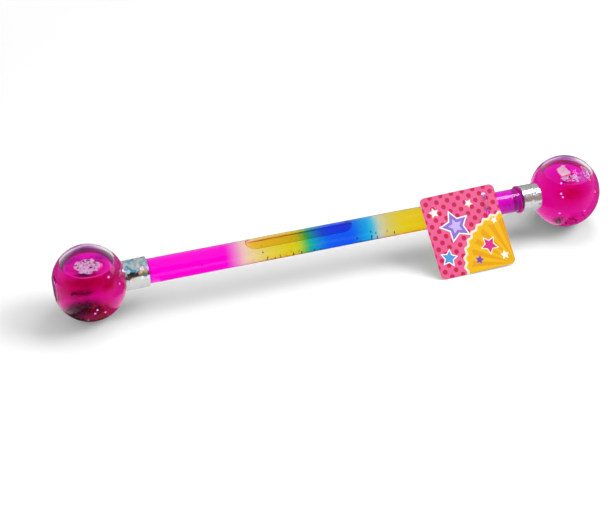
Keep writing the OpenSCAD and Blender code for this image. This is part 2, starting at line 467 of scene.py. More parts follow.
def piece(name, points, faces, material, body=BATON, node=None):
    """A new object at the origin from points in millimetres and faces, riding on a body of the frame."""
    mesh = bpy.data.meshes.new(name)
    mesh.from_pydata(points * MM, [], faces if isinstance(faces, list) else faces.tolist())
    shape = bmesh.new()
    shape.from_mesh(mesh)
    bmesh.ops.remove_doubles(shape, verts=shape.verts, dist=MERGED)
    shape.to_mesh(mesh)
    shape.free()
    mesh.shade_smooth()
    mesh.set_sharp_from_angle(angle=SHARP)
    mesh.materials.append(material)
    made = bpy.data.objects.new(name, mesh)
    scene.collection.objects.link(made)
    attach(made, body)
    if node:
        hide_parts(node)
    print(f"{name}: {len(mesh.polygons)} faces")
    return made


def read_vectors(items, label):
    """One vector for each vertex or face of a mesh, as rows."""
    values = np.empty((len(items), 3))
    items.foreach_get(label, values.ravel())
    return values


def second_finish(made, material, test):
    """Gives a second material to the faces whose middles, in millimetres, pass the test."""
    made.data.materials.append(material)
    chosen = test(read_vectors(made.data.polygons, "center") / MM)
    made.data.polygons.foreach_set("material_index", chosen.astype(np.int32))
    print(f"{made.name}: {int(chosen.sum())} faces in {material.name}")


print("piece helpers ready")

# %% [markdown]
# Handling leaves faint smears on clear plastic, and liquids carry slow ripples. Both could be painted by
# hand, but noise in the object's own coordinates gives them at any scale, so each is a node group with named
# sockets, built once and placed in every finish that needs it.

# %% Shared effects
SMEAR_EDGE = (0.52, 0.75)


def group(name, inputs, outputs):
    """An empty node group with named sockets, what it is given and its output node.

    An input that starts as a tuple is a vector, and any other a number.
    """
    made = bpy.data.node_groups.new(name, "ShaderNodeTree")
    for label, start in inputs.items():
        kind = "Vector" if isinstance(start, tuple) else "Float"
        socket = made.interface.new_socket(label, in_out="INPUT", socket_type="NodeSocket" + kind)
        socket.default_value = start
    for label, kind in outputs.items():
        made.interface.new_socket(label, in_out="OUTPUT", socket_type="NodeSocket" + kind)
    return made, made.nodes.new("NodeGroupInput").outputs, made.nodes.new("NodeGroupOutput")


def place_group(tree, made, inputs):
    """One copy of a group in a material, with its own values."""
    copy = tree.nodes.new("ShaderNodeGroup")
    copy.node_tree = made
    return feed(tree, copy, inputs)


smears, given, result = group(
    "smears", {"Scale": 60.0, "Clean": 0.02, "Smeared": 0.1}, {"Roughness": "Float"},
)
marks = between(smears, noise(smears, own_place(smears), given["Scale"], 3.0), *SMEAR_EDGE)
feed(smears, result, {"Roughness": between(smears, marks, 0.0, 1.0, given["Clean"], given["Smeared"])})

waves, given, result = group("waves", {"Scale": 90.0, "Stretch": 1.0}, {"Height": "Float"})
along = put(waves, "CombineXYZ", {0: given["Stretch"], 1: 1.0, 2: 1.0})
spread = vectors(waves, "MULTIPLY", own_place(waves), along.outputs[0])
feed(waves, result, {"Height": noise(waves, spread, given["Scale"], 1.0)})
print("groups:", [g.name for g in bpy.data.node_groups])

# %% [markdown]
# Settled dust and painted shade lie on a ball's wall in soft patches. A patch is told by two angles from the
# ball's centre: the turn towards the baton's right end and the dip below level at the back. Its mask is a
# bell over both angles, broken up by noise. A painted texture would need an unwrapped ball; angles need only
# the object's coordinates.

# %% Patches on a ball's wall
BALL_CENTRE = 162.0
GRAIN_SCALE = 600.0
GRAIN_EDGE = (0.3, 0.7)
GRAIN_REACH = (0.6, 1.3)

wall_patch, given, result = group(
    "wall_patch", {"Turn": 0.0, "Dip": 0.0, "Wide": 10.0, "High": 5.0}, {"Mask": "Float"},
)
sums = partial(maths, wall_patch)
place = own_place(wall_patch)
x, y, z = axes(wall_patch, place)
from_centre = sums("SUBTRACT", x, sums("MULTIPLY", sums("SIGN", x), BALL_CENTRE * MM))
off_axis = sums("SQRT", sums("MULTIPLY_ADD", y, y, sums("MULTIPLY", z, z)))
turn = sums("DEGREES", sums("ARCTAN2", from_centre, off_axis))
dip = sums("DEGREES", sums("ARCTAN2", sums("MULTIPLY", z, -1.0), y))
u = sums("DIVIDE", sums("SUBTRACT", turn, given["Turn"]), given["Wide"])
v = sums("DIVIDE", sums("SUBTRACT", dip, given["Dip"]), given["High"])
square = sums("MULTIPLY_ADD", u, u, sums("MULTIPLY", v, v))
bell = sums("EXPONENT", sums("MULTIPLY", square, -1.0))
grain = between(wall_patch, noise(wall_patch, place, GRAIN_SCALE, 3.0), *GRAIN_EDGE, *GRAIN_REACH)
mask = put(wall_patch, "Math", {0: bell, 1: grain}, operation="MULTIPLY", use_clamp=True)
feed(wall_patch, result, {"Mask": mask.outputs[0]})


def patched(tree, below, patches):
    """Lays tinted patches over a colour; a tint is what is seen through the wall, so its square is set."""
    for at, down, wide, high, seen in patches:
        patch = place_group(tree, wall_patch, {"Turn": at, "Dip": down, "Wide": wide, "High": high})
        dose = put(tree, "Gamma", {0: (*(value ** 2 for value in seen), 1), 1: patch.outputs[0]})
        below = blended(tree, 1.0, below, dose.outputs[0], "MULTIPLY")
    return below


print("patches ready")

# %% [markdown]
# The balls are clear moulded plastic. Real glass would sparkle harder, but this plastic bends light almost as
# much, with soft smears and a slight waviness from the mould. Transmission does the clearness, and the noise
# only varies roughness and the normal. The necks are tinted more deeply than the balls, and patches of
# painted shade darken the wall above each pool at the back of the dome. The patches differ from ball to ball,
# so each ball has its own finish.

# %% Clear plastic
RIPPLE_HEIGHT = 0.001
SHELL_TINT = colour("fbf6fb")
NECK_TINT = colour("c47cbc")
NECK_END = (0.134, 0.138)
# Patches of painted shade: turn, dip, width and height in degrees of each patch, and the colour seen through
# it
DOME_SHADE = {
    "left": (
        (-12, -46, 45, 18, (0.8, 0.45, 0.82)), (-4, -54, 16, 9, (0.5, 0.25, 0.5)),
        (2, -79, 14, 6, (0.6, 0.35, 0.6)),
    ),
    "right": (
        (5, -48, 45, 18, (0.8, 0.45, 0.82)), (12, -60, 16, 9, (0.5, 0.25, 0.5)),
        (8, -76, 16, 7, (0.6, 0.35, 0.6)),
    ),
}


def rippled(tree, shader, scale, strength, stretch=1.0):
    """Bends the normal of a shader by slow waves."""
    flow = place_group(tree, waves, {"Scale": scale, "Stretch": stretch})
    bump = put(tree, "Bump", {"Height": flow.outputs[0], "Strength": strength, "Distance": RIPPLE_HEIGHT})
    feed(tree, shader, {"Normal": bump.outputs[0]})


def clear_finish(name, tint, shine, ior, scale, clean, smeared, ripple, stretch=1.0):
    """Clear plastic: full transmission, smeared roughness and a slight waviness of the surface."""
    material, tree, shader = finish_start(
        name, Base_Color=tint, Specular_Tint=shine, IOR=ior, Transmission_Weight=1.0,
    )
    marks = place_group(tree, smears, {"Scale": scale, "Clean": clean, "Smeared": smeared})
    feed(tree, shader, {"Roughness": marks.outputs["Roughness"]})
    rippled(tree, shader, scale, ripple, stretch)
    return material, tree, shader


shell_finishes = {}
for label, patches in DOME_SHADE.items():
    shell_finishes[label], tree, shader = clear_finish(
        f"{label}_clear_ball_plastic", SHELL_TINT, shine=(0.4, 0.05, 0.25, 1), ior=1.49, scale=70.0,
        clean=0.01, smeared=0.05, ripple=0.05,
    )
    from_middle = maths(tree, "ABSOLUTE", axes(tree, own_place(tree))[0])
    tint = blended(tree, between(tree, from_middle, *NECK_END), NECK_TINT, SHELL_TINT)
    feed(tree, shader, {"Base Color": patched(tree, tint, patches)})
plug_finish = clear_finish(
    "frosted_plug_plastic", colour("e890dc"), shine=(0.6, 0.2, 0.6, 1), ior=1.47, scale=300.0,
    clean=0.12, smeared=0.3, ripple=0.2,
)[0]
strand_finish = clear_finish(
    "clear_strand_plastic", colour("f4f4f8"), shine=WHITE, ior=1.52, scale=400.0,
    clean=0.08, smeared=0.2, ripple=0.2, stretch=0.1,
)[0]
print("clear finishes ready")

# %% [markdown]
# The ball's liquid is a dye solution: thin layers look magenta, thick ones red, because green is taken out
# first and blue more slowly. Absorption in the volume gives that by itself, which a surface colour can't.
# Patches on the wall make the liquid seen there darker and redder: partly settled dust, too fine for flakes
# of its own, and partly painted shade.

# %% Liquids
DYE = (0.993, 0.0, 0.968, 1)
DYE_DENSITY = 1000.0
# Settled dust and painted shade: turn, dip, width and height in degrees of each patch, and the colour seen
# through it
DUST_AND_SHADE = {
    "left": (
        (-5, 41, 15, 18, (0.8, 0.6, 0.75)), (28, 40, 9, 16, (0.85, 0.6, 0.75)),
        (6, 35.5, 19, 6, (0.6, 0.4, 0.14)), (20, 42.5, 4, 4, (0.7, 0.5, 0.25)),
        (-1, 43.5, 9, 2.4, (0.4, 0.5, 0.22)), (-3, 55.3, 11, 4.5, (0.03, 0.06, 0.01)),
        (10, 59.5, 7, 3.5, (0.5, 0.3, 0.12)), (1, 60, 17, 5, (0.6, 0.35, 0.3)),
        (-25, 12, 17, 10, (0.36, 0.3, 0.4)), (33, 14, 14, 8, (0.4, 0.3, 0.5)),
        (28, 30, 7, 6, (0.62, 0.5, 0.6)), (-32, 33, 8, 8, (0.65, 0.4, 0.6)),
    ),
    "right": (
        (33, 41, 10, 8, (0.82, 0.5, 0.3)), (14, 62, 4.5, 2.4, (0.14, 0.06, 0.05)),
        (24, 66, 6, 2.5, (0.6, 0.5, 0.45)),
    ),
}


def liquid_finish(name, ripple, dye=None):
    """Clear liquid; a dye takes out, per millimetre, the share of each colour that it lacks."""
    material, tree, shader = finish_start(
        name, Base_Color=WHITE, IOR=1.35, Transmission_Weight=1.0, Roughness=0.0, Specular_Tint=(0, 0, 0, 1),
    )
    rippled(tree, shader, scale=120.0, strength=ripple)
    if dye:
        inside = put(tree, "VolumeAbsorption", {"Color": dye, "Density": DYE_DENSITY})
        feed(tree, tree.nodes["Material Output"], {"Volume": inside.outputs[0]})
    return material, tree, shader


magenta_finishes = {}
for label, patches in DUST_AND_SHADE.items():
    magenta_finishes[label], tree, shader = liquid_finish(f"{label}_magenta_liquid", 0.02, DYE)
    feed(tree, shader, {"Base Color": patched(tree, WHITE, patches)})
water_finish = liquid_finish("clear_liquid", 0.05)[0]
print("liquids ready")

# %% [markdown]
# Each ball is one moulding: a slightly squat sphere, a neck with a rolled lip that grips the tube, and a boss
# inside the flat pole that holds the plug. A lathe would turn it from a half outline, and so does this cell.
# The outline runs from the closed floor of the socket, over the lip and the outside, round the plug's seat
# and back along the inner wall. Axial values count from the ball's centre towards the tube.

# %% Ball shells
SIDES = {"left": -1, "right": 1}
BALL_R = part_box("right_ball")[1].z / MM
SQUAT = 1.6
WALL = 1.6
ARC_R = BALL_R - SQUAT
INNER_R = ARC_R - WALL
MOUTH = BALL_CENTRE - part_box("right_ball")[0].x / MM
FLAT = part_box("right_ball")[1].x / MM - BALL_CENTRE
FLAT_R = SQUAT + math.sqrt(ARC_R ** 2 - FLAT ** 2)
TUBE_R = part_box("grip_tube")[1].z / MM
GAP = 0.05
NECK_WALL = 0.9
LIP = 0.55
SOCKET_R = TUBE_R + GAP
NECK_R = SOCKET_R + NECK_WALL
LIP_R = NECK_R + LIP
BEAD = 1.0
PLUG_R = 6.5
PLUG_HEAD = 1.1
STEM_R = 4.5
BOSS_WALL = 1.5
BOSS_DEPTH = 3.6
BOSS_R = PLUG_R + BOSS_WALL
BOSS_END = BOSS_DEPTH - FLAT
EDGE = 0.25
INNER_EDGE = 0.1
BALL_STEPS = 96
BEAD_STEPS = 14


def angle_at(radius, r):
    """Angle in degrees on a ball's arc, from the tube's side, where the arc is r from the axis."""
    return math.degrees(math.asin((r - SQUAT) / radius))


def ball_outline():
    """Half outline of a ball shell: socket, lip, outside arc, flat pole, plug seat, boss and inner arc."""
    bead_end = 180 - math.degrees(math.asin((NECK_R - LIP_R + BEAD) / BEAD))
    bead = arc((MOUTH - BEAD, LIP_R - BEAD), BEAD, 0, bead_end, BEAD_STEPS)
    socket = rounded([(ARC_R, 0), (ARC_R, SOCKET_R), (MOUTH, SOCKET_R), bead[0]], [0.3, 0.15])
    pole_edge = 180 - angle_at(ARC_R, FLAT_R + EDGE)
    outside = arc((0, SQUAT), ARC_R, angle_at(ARC_R, NECK_R), pole_edge, BALL_STEPS)
    seat = PLUG_HEAD + GAP - FLAT
    inner = arc((0, SQUAT), INNER_R, 180 - angle_at(INNER_R, BOSS_R), 0, BALL_STEPS)
    pole = rounded(
        [outside[-1], (-FLAT, FLAT_R), (-FLAT, PLUG_R + GAP), (seat, PLUG_R + GAP), (seat, STEM_R + GAP),
         (BOSS_END, STEM_R + GAP), (BOSS_END, BOSS_R), inner[0]],
        [EDGE * 0.5, EDGE * 0.6, INNER_EDGE, INNER_EDGE, 0.2, 0.4],
    )
    return np.concatenate([socket[:-1], bead, outside, pole[1:-1], inner, [(INNER_R, 0)]])


def at_end(points, side):
    """Moves points from a ball's own axis to its end of the baton: x = side (centre - axial)."""
    return np.column_stack([side * (BALL_CENTRE - points[:, 0]), points[:, 1], points[:, 2]])


def end_piece(label, name, shape, material, node):
    """A closed surface on a ball's own axis as a piece at that end of the baton."""
    points, faces = shape
    points = at_end(points, SIDES[label])
    return piece(f"{label}_{name}", points, outward(points, faces), material, node=f"{label}_{node}")


for label in SIDES:
    end_piece(label, "clear_ball", turned(ball_outline()), shell_finishes[label], "ball")

# %% [markdown]
# A ball is filled through its pole, and a plug with a thin head closes the hole. The head lies flush in its
# seat, with a softened rim, and the stem fills the boss.

# %% Pole plugs
PLUG_AROUND = 96


def plug_shape(head_r, head_low, head_high, stem_r, stem_end):
    """A headed plug, turned from the middle of its head to the middle of its stem's end."""
    outline = [(head_low, 0), (head_low, head_r), (head_high, head_r),
               (head_high, stem_r), (stem_end, stem_r), (stem_end, 0)]
    return turned(rounded(outline, [EDGE, EDGE, INNER_EDGE, EDGE]), PLUG_AROUND)


for label in SIDES:
    shape = plug_shape(PLUG_R, -FLAT, PLUG_HEAD - FLAT, STEM_R, BOSS_END)
    end_piece(label, "pole_plug", shape, plug_finish, "end_plug")

# %% [markdown]
# The pool of liquid fills a ball to a level line, and creeps a little up the wall there. It could be cut from
# a solid, but a cut leaves ragged edges. Here each ring of the inner outline is followed only below the level
# and closed by a straight chord at the surface, so the waterline falls on the grid itself. The pool reaches a
# little into the wall, because light then passes from plastic to liquid with no film of air between them.

# %% Pools of liquid
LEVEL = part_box("left_ball_liquid")[1].z / MM
CREEP = 0.7
CREEP_WIDTH = 1.3
SURFACE_R = BALL_R * 0.7
WETTED = 0.3
SHORE = LEVEL + CREEP


def pool_outline():
    """Half outline of the hollow, grown by the overlap: the boss's end and side, then the inner arc."""
    reach = INNER_R + WETTED
    boss_r = BOSS_R - WETTED
    boss = np.array([(BOSS_END - WETTED, r) for r in (0, boss_r * 0.5, boss_r)])
    start = 180 - angle_at(reach, boss_r)
    shore = angle_at(reach, SHORE)
    steps = ((start, 180 - shore, 16), (180 - shore, shore, 90), (shore, 0, 24))
    wall = [arc((0, SQUAT), reach, a, b, n)[:-1] for a, b, n in steps]
    return np.concatenate([boss, *wall, [(reach, SQUAT), (reach, 0)]])


def pool(outline, arc_steps=96, chord_steps=48):
    """Rings of the outline below the level, each closed by a chord.

    A ring of radius r starts at the angle whose sine is the level over r, goes down round the bottom and
    comes up on the other side; the chord runs back at the level plus a rise that fades with distance from the
    wall.
    """
    axial, radial = outline[:, :1], outline[:, 1:]
    low = np.arcsin(np.clip(SHORE / np.maximum(radial, 1e-6), -1, 1))
    turn = np.pi - low + np.linspace(0, 1, arc_steps) * (np.pi + 2 * low)
    across = np.linspace(1, -1, chord_steps + 2)[1:-1]
    half_wide = np.sqrt(np.maximum(radial ** 2 - SHORE ** 2, 0))
    half_long = np.abs(axial[half_wide > 0]).max()
    inside = (1 - across ** 2) * np.clip(1 - (axial / half_long) ** 2, 0, 1)
    rise = CREEP * np.exp((np.sqrt(1 - inside) - 1) * SURFACE_R / CREEP_WIDTH)
    height = np.where(half_wide > 0, LEVEL + rise, radial)
    top = np.stack(np.broadcast_arrays(axial, half_wide * across, height), axis=-1)
    grid = np.concatenate([rings(axial, radial, turn), top], axis=1)
    return grid.reshape(-1, 3), grid_faces(len(outline), arc_steps + chord_steps, wrap=True)


for label in SIDES:
    shape = pool(pool_outline())
    end_piece(label, "pool", shape, magenta_finishes[label], "ball_liquid")

# %% [markdown]
# The grip is an extruded tube, tinted in soft bands along its length. A ramp on the X coordinate gives the
# bands; each colour is the one seen through the whole tube, so its root is set, because light crosses the
# tinted wall twice. The dark purple at the left end, next to the neck, is painted shade, and so is a
# darkening of the lower side at the right end. Fine lengthwise lines come from the extrusion.

# %% Tinted tube
TUBE_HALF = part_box("grip_tube")[1].x / MM
TUBE_WALL = 1.2
BORE_R = TUBE_R - TUBE_WALL
# The dark purple at the left end, next to the neck, is painted shade.
TINTS = (
    (-138, "58104e"), (-126.2, "58104e"), (-124.2, "ff00d8"), (-77, "ff00d6"), (-71, "f070cf"),
    (-64, "efcabd"), (-57, "e9d490"), (-48, "e4d24e"), (-32, "dcca14"), (-28, "c8cf2c"), (-24, "8fc040"),
    (-20, "0cb0a0"), (-15, "1490d2"), (-8, "1060f0"), (8, "0f58f0"), (15, "1290e0"), (21, "18b0e4"),
    (25, "a4cdd0"), (29, "d2cca4"), (36, "d8ca56"), (44, "e4cc1c"), (66, "e8c206"), (80, "f0d8b8"),
    (90, "f040d0"), (100, "f400e0"), (124.2, "e400cc"), (126.2, "c810b0"), (138, "c810b0"),
)
TINT_POWER = 0.5
# Painted shade on the lower side of the tube's right end
STUB_SHADE = (0.4, 0.05, 0.36, 1)
STUB_ALONG = (0.102, 0.118)
STUB_DOWN = (-0.003, -0.007)

tint_bands_and_shade, _, result = group("tint_bands_and_shade", {}, {"Color": "Color"})
x, _, z = axes(tint_bands_and_shade, own_place(tint_bands_and_shade))
bands = ramp(tint_bands_and_shade, between(tint_bands_and_shade, x, -TUBE_HALF * MM, TUBE_HALF * MM), [
    ((at + TUBE_HALF) / (2 * TUBE_HALF), (*light_value(code) ** TINT_POWER, 1)) for at, code in TINTS
])
shaded_low = maths(tint_bands_and_shade, "MULTIPLY", between(tint_bands_and_shade, x, *STUB_ALONG), between(tint_bands_and_shade, z, *STUB_DOWN))
feed(tint_bands_and_shade, result, {"Color": blended(tint_bands_and_shade, shaded_low, bands, STUB_SHADE, "MULTIPLY")})

tube_finish, tree, shader = clear_finish(
    "tinted_tube_plastic", WHITE, shine=(0.3, 0.3, 0.3, 1), ior=1.49, scale=120.0,
    clean=0.01, smeared=0.06, ripple=0.06, stretch=0.02,
)
feed(tree, shader, {"Base Color": place_group(tree, tint_bands_and_shade, {}).outputs[0]})

section = [(-TUBE_HALF, BORE_R), (-TUBE_HALF, TUBE_R), (TUBE_HALF, TUBE_R), (TUBE_HALF, BORE_R)]
points, faces = turned(rounded(section + section[:1], [EDGE] * 3))
piece("clear_tube", points, outward(points, faces), tube_finish, node="grip_tube")

# %% [markdown]
# Clear liquid fills the bore, apart from one long air bubble under the top of the tube. A bubble there is a
# slice of the bore with rounded ends. Its section is worked out as distances from a point inside it, to the
# round wall and to the flat water below, joined by a high power mean so that the edge between them is soft.

# %% Bubble in the tube
BUBBLE_MIDDLE = -27.0
BUBBLE_HALF = 35.5
BUBBLE_FLOOR = 3.9
BUBBLE_END = 7.0
WATER_FILM = 0.15
ROOF = BORE_R - WATER_FILM
BUBBLE_AXIS = (ROOF + BUBBLE_FLOOR) / 2
MEAN_POWER = 7


def bubble_section(turn):
    """Distances from the bubble's inner line to the wall and to the water, for each turn round it."""
    sideways, up = np.cos(turn), np.sin(turn)
    to_wall = -BUBBLE_AXIS * up + np.sqrt(ROOF ** 2 - (BUBBLE_AXIS * sideways) ** 2)
    to_floor = (BUBBLE_AXIS - BUBBLE_FLOOR) / np.maximum(-up, 1e-6)
    return to_wall, to_floor


def bubble_size(x):
    """Size of the section at a distance x from the bubble's middle: root(1 - q q) within an end, else 1."""
    q = np.clip((np.abs(x) - BUBBLE_HALF + BUBBLE_END) / BUBBLE_END, 0, 1)
    return np.sqrt(1 - q ** 2)


def bubble(along=140, around=96):
    """Closed surface of the bubble: its section shrinks towards the top of the bore at both ends.

    The distance to the wall and the distance to the floor are joined as one over the p-th root of the sum of
    their inverse p-th powers.
    """
    turn = np.linspace(0, 2 * np.pi, around, endpoint=False)
    to_wall, to_floor = bubble_section(turn)
    reach = (to_wall ** -MEAN_POWER + to_floor ** -MEAN_POWER) ** (-1 / MEAN_POWER)
    y, z = reach * np.cos(turn), BUBBLE_AXIS + reach * np.sin(turn)
    x = BUBBLE_HALF * np.sin(np.linspace(-np.pi / 2, np.pi / 2, along))[:, None]
    size = bubble_size(x)
    grid = np.stack(np.broadcast_arrays(x + BUBBLE_MIDDLE, y * size, ROOF + (z - ROOF) * size), axis=-1)
    return grid.reshape(-1, 3), grid_faces(along, around, wrap=True)


print("bubble:", 2 * BUBBLE_HALF, "mm long and", round(ROOF - BUBBLE_FLOOR, 2), "mm deep")

# %% [markdown]
# The colours of the tube look deeper where they are seen past the bubble, and darker along its front edge.
# The bubble's skin paints this with a finish of its own: a ramp along it holds the deeper colours, as painted
# shade, and an attribute on its points says where the painted dark edge is. The edge could be a mask in the
# shader, but the formula of the section already knows it.

# %% Bubble skin
RIM_SHARE = 0.22
TIP_SIZE = 0.45
TIP_FADE = 0.2
# Painted shade along the bubble's front edge and at its tips
RIM_SHADE = (0.4, 0.25, 0.25, 1)
# Painted shade on the bubble's skin: place along the tube in millimetres, and the deeper colour there
SKIN_TINTS = (
    (-62.5, (1, 0.85, 0.3)), (-57, (0.95, 0.76, 0.04)), (-45, (0.9, 0.7, 0.03)), (-30, (0.82, 0.7, 0.08)),
    (-24, (0.7, 0.7, 0.25)), (-19, (0.9, 0.65, 0.7)), (-12, (0.9, 0.36, 0.75)), (8.5, (0.9, 0.32, 0.85)),
)


def on_bubble(points):
    """Test for points of the bubble's skin: inside the bore and between the bubble's ends."""
    along = np.abs(points[:, 0] - BUBBLE_MIDDLE) <= BUBBLE_HALF
    return along & (np.hypot(points[:, 1], points[:, 2]) < BORE_R)


def bubble_rim(points):
    """1 along the bubble's front edge, where wall and water are equally far, and at its tips; 0 elsewhere."""
    size = np.maximum(bubble_size(points[:, 0] - BUBBLE_MIDDLE), 1e-3)
    turn = np.arctan2(ROOF + (points[:, 2] - ROOF) / size - BUBBLE_AXIS, points[:, 1] / size)
    to_wall, to_floor = bubble_section(turn)
    front = np.exp(-(np.log(to_wall / to_floor) / RIM_SHARE) ** 2) * (points[:, 1] < 0)
    return np.maximum(front, np.clip((TIP_SIZE - size) / TIP_FADE, 0, 1))


bubble_finish, tree, shader = liquid_finish("bubble_skin", 0.05)
left_tip, right_tip = BUBBLE_MIDDLE - BUBBLE_HALF, BUBBLE_MIDDLE + BUBBLE_HALF
place = between(tree, axes(tree, own_place(tree))[0], left_tip * MM, right_tip * MM)
deep = ramp(tree, place, [((at - left_tip) / (2 * BUBBLE_HALF), (*tint, 1)) for at, tint in SKIN_TINTS])
rim = put(tree, "Attribute", attribute_name="rim").outputs["Fac"]
dusk = blended(tree, 1.0, deep, RIM_SHADE, "MULTIPLY")
feed(tree, shader, {"Base Color": blended(tree, rim, deep, dusk)})
print("bubble skin from", left_tip, "to", right_tip, "mm")

# %% [markdown]
# The filling is a plain rod of liquid with the bubble as a hollow in it, in one piece, because the light has
# to cross both surfaces of the same liquid. Like the pools it reaches a little into the wall.

# %% Tube filling
FILL_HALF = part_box("tube_liquid")[1].x / MM
FILL_WETTED = 0.2
fill_r = BORE_R + FILL_WETTED
fill_outline = [(-FILL_HALF, 0), (-FILL_HALF, fill_r), (FILL_HALF, fill_r), (FILL_HALF, 0)]
fill_points, fill_faces = turned(rounded(fill_outline, [EDGE, EDGE]))
hole_points, hole_faces = bubble()
points = np.concatenate([fill_points, hole_points])
faces = np.concatenate([
    outward(fill_points, fill_faces),
    outward(hole_points, hole_faces, hollow=True) + len(fill_points),
])
filling = piece("tube_filling", points, faces, water_finish, node="tube_liquid")
second_finish(filling, bubble_finish, on_bubble)
corners = read_vectors(filling.data.vertices, "co") / MM
edge = filling.data.attributes.new("rim", "FLOAT", "POINT")
edge.data.foreach_set("value", np.where(on_bubble(corners), bubble_rim(corners), 0.0))

# %% [markdown]
# A stopper with a thin head closes each end of the tube before the ball's neck goes over it. It is turned
# from the same kind of outline as the pole plugs.

# %% Stoppers
STOPPER_HEAD = 1.2
STOPPER_LOW = ARC_R + GAP
STOPPER_HIGH = STOPPER_LOW + STOPPER_HEAD
STOPPER_LENGTH = 6.0
for label in SIDES:
    shape = plug_shape(TUBE_R, STOPPER_LOW, STOPPER_HIGH, BORE_R - GAP, STOPPER_HIGH + GAP + STOPPER_LENGTH)
    end_piece(label, "stopper", shape, plug_finish, "tube_plug")

# %% [markdown]
# The bands are silver foil with a fine pressed pattern that splits light into colours. Each patch of the
# pattern faces a slightly different way. Voronoi cells give the patches: the cell's random value tilts the
# normal and picks a hue, and every second hue is near silver. The pattern is painted sheen: it shows only
# where the foil faces up, towards the light, and is calmer on the right band. The foil's back is white. Light
# that is bent through the clear neck isn't followed to it, so the back is given a painted glow instead.

# %% Holographic foil
CELL = 1.9
HUES = ("f2f4f8", "5cc0ea", "f4f6fa", "58bcd0", "ffffff", "b9a8f0", "e6eaf2", "ffb46a", "f0f3f8", "86dcc0")
SILVER = colour("d6d6d8")
# The pattern's colours are painted sheen, shown where the foil faces up
FACING_UP = (0.1, 0.35)
CALM_ALONG = (-0.05, 0.05)
CALM_LEVELS = (1.0, 0.25)
FOIL_TILTS = (0.05, 0.26)
FOIL_ROUGHNESS = (0.12, 0.3)
BACKING_GLOW = 1.5
BACKING_FIBRE = 1200.0


def foil_material():
    """Metal whose colour and normal change from cell to cell of a Voronoi pattern."""
    material, tree, shader = finish_start("holographic_foil", Metallic=1.0)
    coords = put(tree, "TexCoord").outputs
    cells = put(tree, "TexVoronoi", {"Vector": coords["Object"], "Scale": 1 / (CELL * MM)}).outputs["Color"]
    pick = put(tree, "SeparateColor", {0: cells}).outputs
    hue = ramp(tree, pick[0], [(i / (len(HUES) - 1), colour(code)) for i, code in enumerate(HUES)])
    lit = between(tree, axes(tree, coords["Normal"])[2], *FACING_UP)
    calm = between(tree, axes(tree, coords["Object"])[0], *CALM_ALONG, *CALM_LEVELS)
    strength = maths(tree, "MULTIPLY", lit, calm)
    tilt = vectors(tree, "SUBTRACT", cells, (0.5, 0.5, 0.5))
    amount = between(tree, strength, 0.0, 1.0, *FOIL_TILTS)
    small = put(tree, "VectorMath", {0: tilt, "Scale": amount}, operation="SCALE").outputs[0]
    lean = vectors(tree, "ADD", put(tree, "NewGeometry").outputs["Normal"], small)
    feed(tree, shader, {
        "Base Color": blended(tree, strength, SILVER, hue),
        "Roughness": between(tree, pick[1], 0.0, 1.0, *FOIL_ROUGHNESS),
        "Normal": vectors(tree, "NORMALIZE", lean),
    })
    return material


def backing_material():
    """The foil's white back, faintly fibrous, with a little painted glow for the light that the clear neck
    lets in.
    """
    material, tree, shader = finish_start("foil_backing", Roughness=0.8, Emission_Strength=BACKING_GLOW)
    fibre = noise(tree, own_place(tree), BACKING_FIBRE, 3.0)
    paper = blended(tree, fibre, colour("ded8de"), colour("fffcff"))
    feed(tree, shader, {"Base Color": paper, "Emission Color": paper})
    return material


foil_finish = foil_material()
backing_finish = backing_material()
print("foil ready")

# %% [markdown]
# Each band is a strip wrapped once round the neck, with its end lapped over its start. It is a thin closed
# sleeve on a grid of turn and length: the lap is a small step in the radius, and slow waves keep it from
# looking like a machined ring. The faces of the inner wall take the foil's back.

# %% Foil bands
FOIL = 0.15
LAP = 0.12
LAP_AT = 4.4
LAP_FADE = 0.25
LAP_STEP = 0.02
WRINKLE = 0.035
FLAT_ENDS = 8


def band(inner_r, low, high, around=240, along=25):
    """Sleeve whose outer radius is the foil's, plus a lap step that fades round the turn, plus slow waves.

    The waves are products and sums of sines of the turn and the place along, and they die out at both ends.
    """
    turn = np.linspace(0, 2 * np.pi, around, endpoint=False)
    place = np.linspace(0, 1, along)[:, None]
    since = np.mod(turn - LAP_AT, 2 * np.pi)
    lap = LAP * np.exp(-since / LAP_FADE) * np.clip(since / LAP_STEP, 0, 1)
    slow = np.sin(3 * turn + 9 * place) * np.sin(5 * place + turn)
    wave = WRINKLE * (slow + 0.6 * np.sin(11 * turn - 4 * place))
    from_ends = [np.sin(np.pi * np.clip(p * FLAT_ENDS, 0, 0.5)) for p in (place, 1 - place)]
    outer = inner_r + FOIL + lap + wave * (from_ends[0] * from_ends[1])
    inner = np.full_like(outer, inner_r)
    radius = np.concatenate([inner[:1], outer, inner[-1:], inner[:1]])
    axial = np.concatenate([[low], low + (high - low) * place[:, 0], [high], [low]])[:, None]
    return rings(axial, radius, turn).reshape(-1, 3), grid_faces(len(axial), around, wrap=True)


def inside_of(radius):
    """Test for points nearer to the baton's axis than a radius."""
    return lambda points: np.hypot(points[:, 1], points[:, 2]) < radius


for label in SIDES:
    lo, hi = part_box(f"{label}_foil_band")
    reach = sorted(BALL_CENTRE - abs(x) / MM for x in (lo.x, hi.x))
    inner_r = hi.z / MM - FOIL
    made = end_piece(label, "band", band(inner_r, *reach), foil_finish, "foil_band")
    second_finish(made, backing_finish, inside_of(inner_r + FOIL / 4))

# %% [markdown]
# Glitter is thin film cut in hexagons. Hundreds of flakes are needed, so one flake has only eight faces, and
# all the flakes of a group are made at once from arrays of places and normals. Each flake keeps its own
# colour in an attribute, which the finish reads. All chance comes from one seeded source, so every run gives
# the same flakes.

# %% Flakes
rng = np.random.default_rng(7)
HEX = 6
FLAKE_THICK = 0.06


